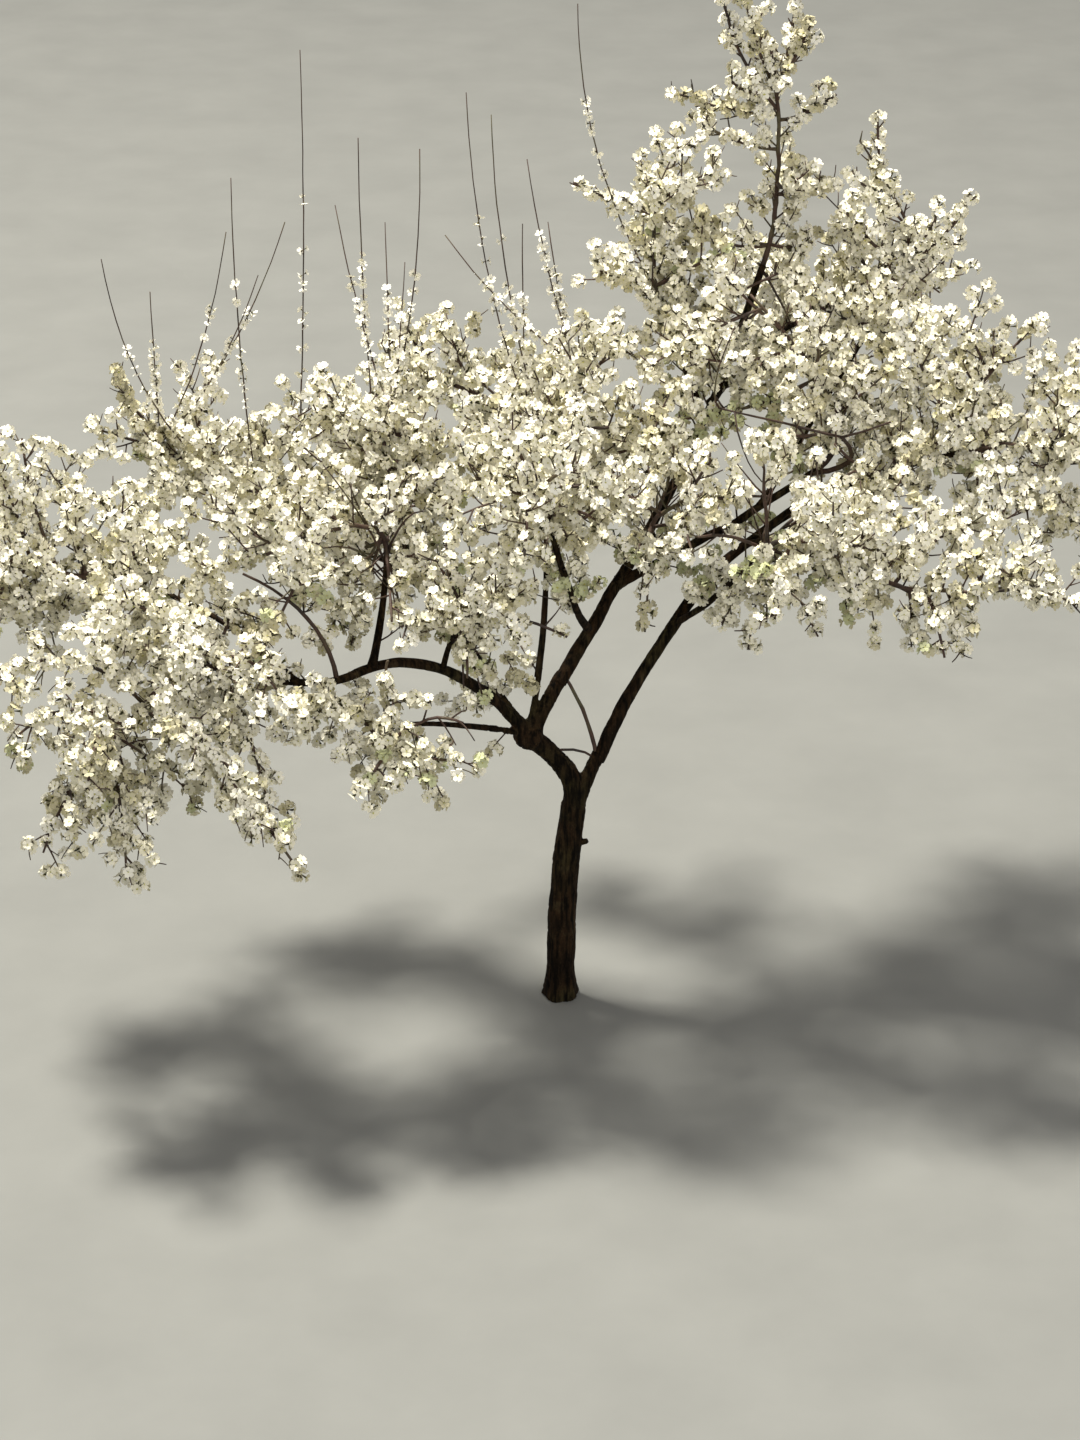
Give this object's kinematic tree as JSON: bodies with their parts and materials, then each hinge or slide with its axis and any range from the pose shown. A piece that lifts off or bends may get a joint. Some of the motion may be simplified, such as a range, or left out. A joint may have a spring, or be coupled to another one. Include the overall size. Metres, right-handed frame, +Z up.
{
  "type": "dwarf plum tree in blossom",
  "caption": "Small open-crowned plum tree in white blossom, with a short leaning trunk, a low fork, spreading boughs, a tall leader and bare upright shoots.",
  "frame": {"origin": "middle of the flat cut under the trunk, at ground level", "axes": "+Z up the trunk, +X along the long side of the crown towards the leader, -Y towards the crown's open front"},
  "size_m": [3.3524, 2.1041, 3.0002],
  "materials": {
    "bark": "dark brown, rough, furrowed bark with olive-grey lights",
    "blossom": "soft warm white petals with yellow-green hearts"
  },
  "bodies": {
    "root": {"trunk": "bark", "limb_left": "bark", "knob": "bark", "limb_right": "bark", "bough_centre": "bark", "bough_left": "bark", "bough_left_low": "bark", "bough_left_rear": "bark", "bough_upright": "bark", "bough_top": "bark", "bough_back": "bark", "bough_high": "bark", "bough_back_right": "bark", "bough_front": "bark", "bough_right_inner": "bark", "bough_right_crest": "bark", "bough_middle": "bark", "bough_right": "bark", "bough_right_front": "bark", "bough_right_far": "bark", "bough_right_mid": "bark", "bough_right_low": "bark", "bough_left_front": "bark", "bough_left_far": "bark", "bough_left_up": "bark", "bough_left_end": "bark", "bough_left_back": "bark", "mass_leader": "blossom", "mass_high": "blossom", "mass_right_crest": "blossom", "mass_right_top": "blossom", "mass_back_right": "blossom", "mass_right": "blossom", "mass_right_far": "blossom", "mass_right_front": "blossom", "mass_right_low": "blossom", "mass_centre": "blossom", "mass_centre_front": "blossom", "mass_back": "blossom", "mass_left_top": "blossom", "mass_left_back": "blossom", "mass_left_front": "blossom", "mass_left_far": "blossom", "mass_weeping": "blossom", "mass_front": "blossom", "mass_left_low": "blossom", "mass_middle": "blossom"}
  },
  "joints": []
}
